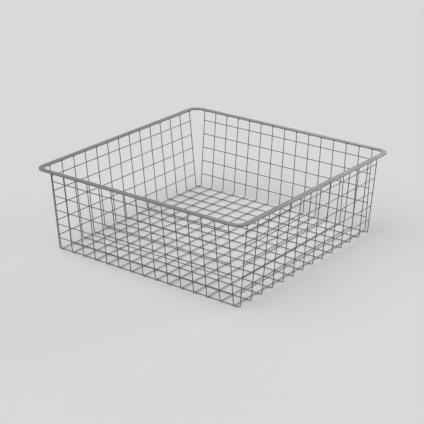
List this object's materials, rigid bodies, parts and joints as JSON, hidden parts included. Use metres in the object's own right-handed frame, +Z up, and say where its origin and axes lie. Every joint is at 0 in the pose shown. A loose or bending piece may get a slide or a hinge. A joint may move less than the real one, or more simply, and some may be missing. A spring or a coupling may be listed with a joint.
{
  "type": "wire drawer basket",
  "caption": "Square open-top basket of welded round wire with outward-leaning walls and a flat strip rim that doubles as a runner flange.",
  "frame": {"origin": "middle of the footprint, at the height of the surface that the basket stands on", "axes": "+X across to the right wall, +Y back along the upper floor wires, +Z up; the front wall faces -Y"},
  "size_m": [0.5, 0.5, 0.1714],
  "materials": {
    "painted_strip": "satin grey powder coat over flat steel strip",
    "painted_wire": "satin grey powder coat over round steel wire"
  },
  "bodies": {
    "root": {"rim_strip": "painted_strip", "lengthwise_wire_01": "painted_wire", "lengthwise_wire_02": "painted_wire", "lengthwise_wire_03": "painted_wire", "lengthwise_wire_04": "painted_wire", "lengthwise_wire_05": "painted_wire", "lengthwise_wire_06": "painted_wire", "lengthwise_wire_07": "painted_wire", "lengthwise_wire_08": "painted_wire", "lengthwise_wire_09": "painted_wire", "lengthwise_wire_10": "painted_wire", "lengthwise_wire_11": "painted_wire", "lengthwise_wire_12": "painted_wire", "lengthwise_wire_13": "painted_wire", "lengthwise_wire_14": "painted_wire", "lengthwise_wire_15": "painted_wire", "crosswise_wire_01": "painted_wire", "crosswise_wire_02": "painted_wire", "crosswise_wire_03": "painted_wire", "crosswise_wire_04": "painted_wire", "crosswise_wire_05": "painted_wire", "crosswise_wire_06": "painted_wire", "crosswise_wire_07": "painted_wire", "crosswise_wire_08": "painted_wire", "crosswise_wire_09": "painted_wire", "crosswise_wire_10": "painted_wire", "crosswise_wire_11": "painted_wire", "crosswise_wire_12": "painted_wire", "crosswise_wire_13": "painted_wire", "crosswise_wire_14": "painted_wire", "front_row_1": "painted_wire", "front_row_2": "painted_wire", "front_row_3": "painted_wire", "front_row_4": "painted_wire", "front_row_5": "painted_wire", "back_row_1": "painted_wire", "back_row_2": "painted_wire", "back_row_3": "painted_wire", "back_row_4": "painted_wire", "back_row_5": "painted_wire", "left_row_1": "painted_wire", "left_row_2": "painted_wire", "left_row_3": "painted_wire", "left_row_4": "painted_wire", "left_row_5": "painted_wire", "right_row_1": "painted_wire", "right_row_2": "painted_wire", "right_row_3": "painted_wire", "right_row_4": "painted_wire", "right_row_5": "painted_wire"}
  },
  "joints": []
}
